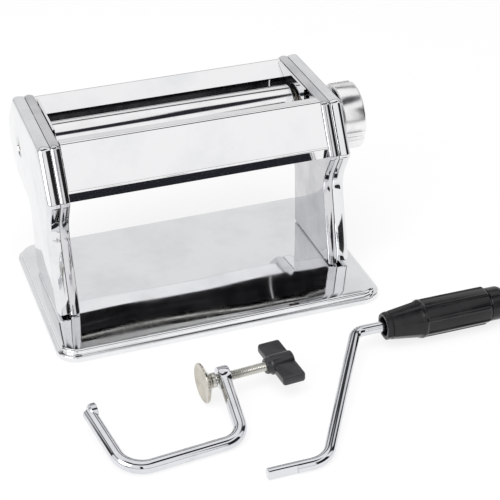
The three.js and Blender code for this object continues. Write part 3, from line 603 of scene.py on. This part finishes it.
def paint_shade_inside(piece):
    """Gives the faces that look at the rollers a near-black painted shade, in a rough unpolished finish."""
    middle = Vector(at(0, 30, 85))
    piece.data.materials.append(inside_steel)
    for face in piece.data.polygons:
        if abs(face.normal.x) < 0.5 and face.normal.dot(middle - face.center) > 0:
            face.material_index = 1


sheets = {
    "front_cover": [(-4.6, 110.4, 0), (-11.4, 111.2, 1.2), (-24.3, 87.3, 1.6), (-21.3, 79.8, 0)],
    "hopper_plate": [(60.7, 108, 0), (60.2, 110.6, 1.2), (47.03, 103.43, 0)],
    "rear_cover": [(62.6, 106.8, 0), (81.2, 88.4, 8), (81.2, 72.4, 8), (68, 59.6, 9), (50, 58.6, 0)]}
for node, line in sheets.items():
    outline = folded(line)
    folding = loft(f"{node}_folding", [across(1, x, outline) for x in (-SHEET_END, SHEET_END)],
                   sheet_chrome, "machine", "chrome", nodes=(node,))
    # the inner faces get the near-black painted shade
    paint_shade_inside(folding)
for side, word in ((-1, "left"), (1, "right")):
    cheek = rounded([(10.5, 102.6, 0.5), (45.1, 103.8, 0.5), (57.4, 110.4, 0.1), (56.8, 110.9, 0.1),
                     (10.5, 110.9, 0.5)])
    loft(f"guide_cheek_{word}", [across(side, x, cheek) for x in (CHEEK_IN, CHEEK_OUT)], sheet_chrome,
         "machine", "chrome", nodes=(f"hopper_cheek_{word}",))

# ---- rollers and what carries them ----------------------------------------------------------
# Two turned steel rollers, ground and hard-chromed, in bronze bushes. Steel gears on their
# left ends mesh behind the cover, and plastic scrapers under them lift off the sheet.
turning, turning_in, turning_out = new_group("turning_lines", (("Scale", 1800),), ("Height",))
turn_place = turning.nodes.new("ShaderNodeTexCoord")
turn_axis = turning.nodes.new("ShaderNodeSeparateXYZ")
turn_noise = turning.nodes.new("ShaderNodeTexNoise")
turn_noise.noise_dimensions = "1D"
turning.links.new(turn_place.outputs["Object"], turn_axis.inputs[0])
turning.links.new(turn_axis.outputs["X"], turn_noise.inputs["W"])
turning.links.new(turning_in.outputs["Scale"], turn_noise.inputs["Scale"])
turning.links.new(turn_noise.outputs["Fac"], turning_out.inputs["Height"])
roller_chrome = finish_with("roller_chrome", (0.80, 0.80, 0.81), (0.88, 0.88, 0.89), 0.06, 0.14, 60,
                            1.0, turning, 1500, 0.01)
gear_steel = finish_with("gear_steel", (0.45, 0.46, 0.47), (0.6, 0.61, 0.62), 0.25, 0.4, 90,
                         1.0, grain, 900, 0.01)
bearing_bronze = finish_with("bearing_bronze", (0.20, 0.18, 0.15), (0.32, 0.29, 0.25), 0.35, 0.5, 150,
                             1.0, grain, 1500, 0.02)
scraper_white = finish_with("scraper_white", (0.8, 0.8, 0.78), (0.9, 0.9, 0.88), 0.35, 0.5, 60,
                            0, grain, 600, 0.02)
JOURNAL, ROLLER_R, ROLLER_HALF, ROLLER_ROUND = 5, 13, 75, 0.7
# the crank's rod, how deep its flat is milled, and the socket that takes it
ROD_R, ROD_FLAT, SOCKET_R, SOCKET_PLAY, SOCKET_DEEP = 3.2, 1.3, 3.5, 0.3, 18
for word, y, right_end, body in (("rear", REAR_Y, 92.1, "drive_roller"),
                                 ("front", FRONT_Y, 83, "gap_roller")):
    shape = [(-89.2, 0), (-89.2, 4.6), (-88.8, JOURNAL), (-ROLLER_HALF, JOURNAL),
             (-ROLLER_HALF, ROLLER_R - ROLLER_ROUND)]
    shape += [(x, r) for r, x in quarter(ROLLER_R - ROLLER_ROUND, -ROLLER_HALF,
                                         ROLLER_R, -ROLLER_HALF + ROLLER_ROUND, "d", 4)]
    shape += [(ROLLER_HALF - ROLLER_ROUND, ROLLER_R)]
    shape += [(x, r) for r, x in quarter(ROLLER_R, ROLLER_HALF - ROLLER_ROUND,
                                         ROLLER_R - ROLLER_ROUND, ROLLER_HALF, "z", 4)]
    shape += [(ROLLER_HALF, JOURNAL), (right_end - 0.4, JOURNAL), (right_end, JOURNAL - 0.4),
              (right_end, 0)]
    rod = lathe(f"{word}_roller_turning", shape, at(0, y, ROLLER_Z), (1, 0, 0), roller_chrome, body,
                "roller_chrome", nodes=(f"{word}_roller",), segments=96)
    if word == "rear":
        flat_y = REAR_Y - ROD_R + ROD_FLAT - SOCKET_PLAY
        ring = []
        for k in range(48):
            a = 2 * math.pi * k / 48
            ring.append(Vector((max(REAR_Y + SOCKET_R * math.cos(a), flat_y),
                                ROLLER_Z + SOCKET_R * math.sin(a))))
        carve(rod, [loft("cutter", [across(1, x, ring) for x in (right_end - SOCKET_DEEP, right_end + 1)])])
for word in ("left", "right"):
    dress(f"roller_bush_{word}", bearing_bronze)
    dress(f"roller_carrier_{word}", bearing_bronze)
for node in ("gear_rear", "gear_front", "dial_spindle", "detent_disc"):
    dress(node, gear_steel)
dress("scraper_front", scraper_white)
dress("scraper_rear", scraper_white)

# ---- thickness dial -----------------------------------------------------------------------
# A cast knob, polished and chromed: a deep cup with three finger scoops in its rim and a
# grip bar across it. It is pulled out against a spring and turned to set the gap.
DIAL_X, DIAL_R, DIAL_LONG, DIAL_WALL = 94, 20.8, 14, 2.6
SCOOPS, SCOOP_OUT, SCOOP_R, SCOOP_FROM = 3, 23.0, 3.4, 196
BAR_HALF, BAR_BITE, BAR_ROUND, BAR_TAPER = 3.2, 0.8, 0.6, 0.82


def dial_radius(angle):
    """The rim's radius at an angle, with the lips of the scoops softened."""
    best = DIAL_R
    for k in range(SCOOPS):
        off = (angle - math.radians(SCOOP_FROM + 360 / SCOOPS * k) + math.pi) % (2 * math.pi) - math.pi
        inside = SCOOP_R ** 2 - (SCOOP_OUT * math.sin(off)) ** 2
        if abs(off) < 1 and inside > 0:
            best = min(best, SCOOP_OUT * math.cos(off) - math.sqrt(inside))
    return best


dial_steps = 240
rim = [dial_radius(2 * math.pi * k / dial_steps) for k in range(dial_steps)]
rim = [(rim[k - 1] + 2 * rim[k] + rim[(k + 1) % dial_steps]) / 4 for k in range(dial_steps)]


def dial_ring(x, drop, circle=None):
    """A ring of the knob at x: its scooped rim moved in by drop, or a plain circle."""
    ring = []
    for k in range(dial_steps):
        a = 2 * math.pi * k / dial_steps
        r = circle if circle is not None else rim[k] - drop
        ring.append(at(DIAL_X + x, FRONT_Y + r * math.cos(a), ROLLER_Z + r * math.sin(a)))
    return ring


knob_rings = [dial_ring(0, 1.2)]
knob_rings += [dial_ring(x, drop) for drop, x in quarter(1.2, 0, 0, 1.2, "d", 5)]
knob_rings += [dial_ring(DIAL_LONG - 1.4, 0)]
knob_rings += [dial_ring(x, drop) for drop, x in quarter(0, DIAL_LONG - 1.4, 1.3, DIAL_LONG, "z", 6)]
inner_r = DIAL_R - DIAL_WALL - 1.4
knob_rings += [dial_ring(DIAL_LONG, 0, inner_r + 0.3), dial_ring(DIAL_LONG - 0.3, 0, inner_r),
               dial_ring(6, 0, inner_r), dial_ring(5, 0, inner_r - 1), dial_ring(5, 0, 6.6),
               dial_ring(9.4, 0, 6.2), dial_ring(10, 0, 5.6)]
dial_chrome = finish_with("dial_chrome", (0.82, 0.82, 0.83), (0.90, 0.90, 0.90), 0.2, 0.3, 60,
                          1.0, grain, 500, 0.02)
dial = loft("dial_casting", knob_rings, dial_chrome, "dial", "chrome", nodes=("dial_knob",))
bar_low, bar_high = ROLLER_Z - inner_r - BAR_BITE, ROLLER_Z + inner_r + BAR_BITE
bar = rounded([(FRONT_Y - BAR_HALF, bar_low, BAR_ROUND), (FRONT_Y + BAR_HALF, bar_low, BAR_ROUND),
               (FRONT_Y + BAR_HALF, bar_high, BAR_ROUND), (FRONT_Y - BAR_HALF, bar_high, BAR_ROUND)])
bar_top = [Vector((FRONT_Y + (p.x - FRONT_Y) * BAR_TAPER, p.y)) for p in bar]
carve(dial, [loft("bar", [across(1, DIAL_X + 4, bar), across(1, DIAL_X + DIAL_LONG - 1.6, bar),
                          across(1, DIAL_X + DIAL_LONG - 1, bar_top)])], "UNION")
carve(dial, [drill(at(DIAL_X - 1, FRONT_Y, ROLLER_Z), (1, 0, 0), 9.5, SPINDLE_HOLE)])

# ---- crank ---------------------------------------------------------------------------------
# A round steel rod bent twice and chromed, with one flat milled on the end that drives
# the roller. It lies on the table in front of the machine.
ROD_CHAMFER, MILL_WIDE, MILL_LONG = 0.5, 9, 16
rod_low, rod_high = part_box("crank_rod")
grip_low, grip_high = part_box("crank_grip")
drive = Vector((rod_low.x, rod_low.y + ROD_R * MM, ROD_R * MM))
axis_y, axis_z = (grip_low.y + grip_high.y) / 2, (grip_low.z + grip_high.z) / 2
drive_bend = at(10.2, 0, 0).x
handle_bend = at(63.5, 0, 0).x


def bent_path(corners, bend_steps=20):
    """Straight runs joined by round bends; corners are (point, bend radius in mm)."""
    path = []
    for i, (here, bend) in enumerate(corners):
        if not bend:
            path.append(here.copy())
            continue
        back = (corners[i - 1][0] - here).normalized()
        ahead = (corners[i + 1][0] - here).normalized()
        half = back.angle(ahead) / 2
        radius = bend * MM
        start = here + back * radius / math.tan(half)
        middle = here + (back + ahead).normalized() * (radius / math.sin(half))
        arm = start - middle
        normal = arm.cross(here + ahead * radius / math.tan(half) - middle).normalized()
        for k in range(bend_steps + 1):
            path.append(Matrix.Rotation((math.pi - 2 * half) * k / bend_steps, 3, normal) @ arm + middle)
    return path


def tube(name, path, radii, *rest, sides=40, **more):
    """A round rod along a path; radii has one value for each point, in mm."""
    rings = []
    side = None
    for i, p in enumerate(path):
        before = (p - path[i - 1]).normalized() if i else (path[1] - p).normalized()
        after = (path[i + 1] - p).normalized() if i < len(path) - 1 else before
        along = (before + after).normalized()
        side = along.cross(Vector((0, 0, 1))) if side is None else side - along * side.dot(along)
        side.normalize()
        up = side.cross(along)
        rings.append([p + (side * math.cos(a) + up * math.sin(a)) * radii[i] * MM
                      for a in (2 * math.pi * k / sides for k in range(sides))])
    return loft(name, rings, *rest, **more)


rod_chrome = finish_with("rod_chrome", (0.62, 0.63, 0.67), (0.74, 0.75, 0.78), 0.04, 0.12, 80,
                         1.0, waves, 60, 0.04)
rod_path = bent_path([(drive, 0), (Vector((drive_bend, drive.y, drive.z)), 15),
                      (Vector((handle_bend, axis_y, axis_z)), 9), (Vector((rod_high.x, axis_y, axis_z)), 0)])
rod_path.insert(1, rod_path[0] + Vector((ROD_CHAMFER * MM, 0, 0)))
rod_radii = [ROD_R - ROD_CHAMFER] + [ROD_R] * (len(rod_path) - 1)
crank = tube("crank_bending", rod_path, rod_radii, rod_chrome, "crank", "chrome",
             nodes=("crank_rod",), sides=48)
mill_y = drive.y + (-ROD_R + ROD_FLAT) * MM
mill_from, mill_to = drive.x - MM, drive.x + MILL_LONG * MM
mill = [(mill_from, mill_y - MILL_WIDE * MM), (mill_to, mill_y - MILL_WIDE * MM), (mill_to, mill_y),
        (mill_from, mill_y)]
carve(crank, [loft("cutter", [[Vector((x, y, z)) for x, y in mill] for z in (-0.002, 0.009)])])

# ---- handle grip --------------------------------------------------------------------------
# Moulded black plastic, free to spin on the rod: a faceted nose, then a barrel of wide
# flats with fine ribs between them, and a separate domed cap pushed in at its end.
grip_black = finish_with("grip_black", (0.012, 0.012, 0.013), (0.006, 0.006, 0.007), 0.17, 0.28, 90,
                         0, grain, 1400, 0.015, coat=0.05, specular=0.32)
GRIP_R, GRIP_FLATS, NOSE_R, NOSE_LONG, RIB_WIDE, RIB_SLOPE = 11.5, 8, 8.3, 22, 1.0, 0.35
grip_steps = 240
grip_long = (grip_high.x - grip_low.x) / MM


def grip_ring(along, size, flats, ribs):
    """A ring of the grip: flats is how faceted it is, ribs how far the ribs stand up."""
    ring = []
    sector = 2 * math.pi / GRIP_FLATS
    for k in range(grip_steps):
        a = 2 * math.pi * k / grip_steps
        off = abs((a % sector) - sector / 2)
        flat = size * math.cos(sector / 2) / math.cos(off)
        flat = size + (flat - size) * flats if flats else size
        edge = (sector / 2 - off) * size
        rib = ribs * max(0.0, min(1.0, (RIB_WIDE - edge) / RIB_SLOPE)) if ribs else 0.0
        r = min(flat + rib, GRIP_R)
        turn = a + math.pi / GRIP_FLATS
        ring.append(Vector((grip_low.x + along * MM, axis_y + r * MM * math.cos(turn),
                            axis_z + r * MM * math.sin(turn))))
    return ring


# along the grip, size, flats and ribs: up the bore, over the nose, along the barrel and back in
grip_profile = [
    (7, 3.5, 0, 0), (7, 5.4, 0, 0), (0.5, 5.6, 0, 0), (0, 6.0, 0, 0), (0, NOSE_R - 0.7, 0.6, 0),
    (0.3, NOSE_R - 0.2, 0.7, 0), (0.9, NOSE_R, 0.7, 0), (2.6, NOSE_R + 0.1, 0.7, 0),
    (2.9, NOSE_R - 0.3, 0.7, 0), (3.5, NOSE_R - 0.3, 0.7, 0), (3.8, NOSE_R + 0.25, 0.7, 0),
    (NOSE_LONG - 2, GRIP_R - 0.8, 0.7, 0), (NOSE_LONG - 0.7, GRIP_R - 0.2, 0.45, 0),
    (NOSE_LONG, GRIP_R, 0.2, 0), (NOSE_LONG + 0.9, GRIP_R, 0.1, 0),
    (NOSE_LONG + 1.7, GRIP_R - 0.2, 0.3, 0), (NOSE_LONG + 2.6, GRIP_R - 0.55, 0.55, 0.5),
    (NOSE_LONG + 14, GRIP_R - 0.5, 0.55, 0.5), (grip_long - 1.8, GRIP_R - 0.55, 0.55, 0.5),
    (grip_long - 0.8, GRIP_R - 0.8, 0.55, 0.2), (grip_long - 0.2, GRIP_R - 1.4, 0.3, 0),
    (grip_long, GRIP_R - 2.0, 0, 0), (grip_long, 3.5, 0, 0)]
loft("grip_moulding", [grip_ring(*row) for row in grip_profile], grip_black, "handle", "black_plastic",
     nodes=("crank_grip",), loop=True, sharp=24)
cap_low, cap_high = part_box("grip_end_cap")
cap_long = (cap_high.x - cap_low.x) / MM
cap_middle = Vector((cap_low.x, axis_y, axis_z))
CAP_R, CAP_DOME = 9.9, 5
cap_shape = [(4.7, 0), (4.7, 4.1), (0, 4.1), (0, CAP_R - 0.4), (0.4, CAP_R), (cap_long - CAP_DOME, CAP_R)]
cap_shape += [(x, r) for r, x in quarter(CAP_R, cap_long - CAP_DOME, 5.0, cap_long, "z", 10)]
cap_shape += [(cap_long, 3.0), (cap_long - 0.3, 2.6), (cap_long - 0.3, 0)]
lathe("grip_cap_moulding", cap_shape, cap_middle, (1, 0, 0), grip_black, "handle", "black_plastic",
      nodes=("grip_end_cap",), segments=72)

# ---- table clamp ----------------------------------------------------------------------------
# A chromed rod bent into a hook, flattened to an eye that the fine-threaded steel screw
# runs through. A nickelled dish turns on its tip, and a black plastic T turns the screw.
CLAMP_TURN = math.radians(4.5)
screw_axis = Vector((math.cos(CLAMP_TURN), math.sin(CLAMP_TURN), 0))
eye = at(-21, -124.4, 11.5)
CLAMP_ROD = 3.75
ROD_END_AT, PAD_AT, KNOB_AT = -77.1, -9.6, 27.5


def on_screw(along):
    """A point on the screw's axis, in mm from the middle of the eye."""
    return eye + screw_axis * along * MM


hook_path = bent_path([(on_screw(ROD_END_AT), 0), (at(-89.4, -176, CLAMP_ROD), 15),
                       (at(-24.4, -169.6, CLAMP_ROD), 13), (eye + Vector((0, -3 * MM, 0)), 0)],
                      bend_steps=24)
hook = tube("clamp_hook", hook_path, [CLAMP_ROD] * len(hook_path), rod_chrome, "clamp", "chrome",
            nodes=("clamp_frame",))
eye_shape = [(-3.2, 0), (-3.2, 5.9), (-3.0, 6.3), (-2.4, 6.6), (2.4, 6.6), (3.0, 6.3), (3.2, 5.9), (3.2, 0)]
foot_shape = [(-4.6, 0), (-4.6, 3.8), (-4.0, 4.6), (-3.4, 5.0), (-0.4, 5.0), (-0.1, 4.8), (0, 4.4), (0, 0)]
carve(hook, [lathe("eye", eye_shape, eye, screw_axis),
             lathe("foot", foot_shape, on_screw(ROD_END_AT + CLAMP_ROD + 0.4), screw_axis)], "UNION")
carve(hook, [drill(on_screw(-12), screw_axis, 24, 3.0)])

pad_nickel = finish_with("pad_nickel", (0.46, 0.43, 0.37), (0.62, 0.59, 0.53), 0.12, 0.26, 90,
                         1.0, grain, 500, 0.02)
PAD_R, PAD_BACK = 11.3, 1.6
pad_shape = [(-0.2, 0), (-0.2, 2.6), (-0.5, 3.4), (-1.0, 6.2), (-3.1, PAD_R - 0.6), (-3.3, PAD_R - 0.2),
             (-3.1, PAD_R), (-2.3, PAD_R), (0.6, 6.0), (1.3, 5.0), (PAD_BACK, 4.4), (PAD_BACK, 0)]
lathe("clamp_dish", pad_shape, on_screw(PAD_AT), screw_axis, pad_nickel, "clamp_pad", "nickel",
      nodes=("clamp_pad",), segments=72)

THREAD_PITCH, SCREW_R = 1.0, 2.7
screw_start, screw_long = PAD_AT + PAD_BACK + 0.3, KNOB_AT - PAD_AT + 6.2
thread = [(0, 0), (0, 3.6), (0.4, 4.2), (2.8, 4.2), (3.2, 3.6), (3.2, 2.2)]
turns = int((screw_long - 4.4) / THREAD_PITCH)
for k in range(turns):
    thread += [(3.6 + k * THREAD_PITCH, SCREW_R - 0.5), (3.6 + (k + 0.5) * THREAD_PITCH, SCREW_R)]
thread += [(screw_long - 0.4, SCREW_R - 0.4), (screw_long, SCREW_R - 0.6), (screw_long, 0)]
lathe("clamp_thread", thread, on_screw(screw_start), screw_axis, zinc_plate, "clamp_screw", "zinc",
      nodes=("clamp_screw",), segments=36, sharp=60)

knob_black = finish_with("knob_black", (0.02, 0.02, 0.024), (0.011, 0.011, 0.014), 0.3, 0.45, 90,
                         0, grain, 1400, 0.02, coat=0.2)
KNOB_DEEP, KNOB_SPAN, KNOB_THICK, HUB_R = 14, 37, 5.4, 5.6
knob_origin = on_screw(KNOB_AT)
knob_cross = Vector((-screw_axis.y, screw_axis.x, 0))
wing = [(0.6, -KNOB_SPAN / 2, 1.8), (KNOB_DEEP, -KNOB_SPAN / 2, 1.8), (KNOB_DEEP, KNOB_SPAN / 2, 1.8),
        (0.6, KNOB_SPAN / 2, 1.8)]
half_thick = KNOB_THICK / 2
wing_rings = [(1.2, -half_thick), (0.4, -half_thick + 0.3), (0.001, -half_thick + 1.2),
              (0.001, half_thick - 1.2), (0.4, half_thick - 0.3), (1.2, half_thick)]
knob = loft("clamp_knob_moulding",
            [[knob_origin + (screw_axis * p.x + knob_cross * p.y) * MM + Vector((0, 0, z * MM))
              for p in rounded(inset(wing, d))] for d, z in wing_rings],
            knob_black, "clamp_screw", "black_plastic", nodes=("clamp_knob",))
hub_shape = [(-2.6, 0), (-2.6, 4.0), (-2.2, 4.4), (0, 4.8), (0.8, HUB_R), (KNOB_DEEP - 1.2, HUB_R),
             (KNOB_DEEP - 0.4, HUB_R - 0.4), (KNOB_DEEP, HUB_R - 1.2), (KNOB_DEEP, 0)]
carve(knob, [lathe("hub", hub_shape, knob_origin, screw_axis)], "UNION")
carve(knob, [drill(on_screw(KNOB_AT - 5), screw_axis, 13.6, 2.9)])
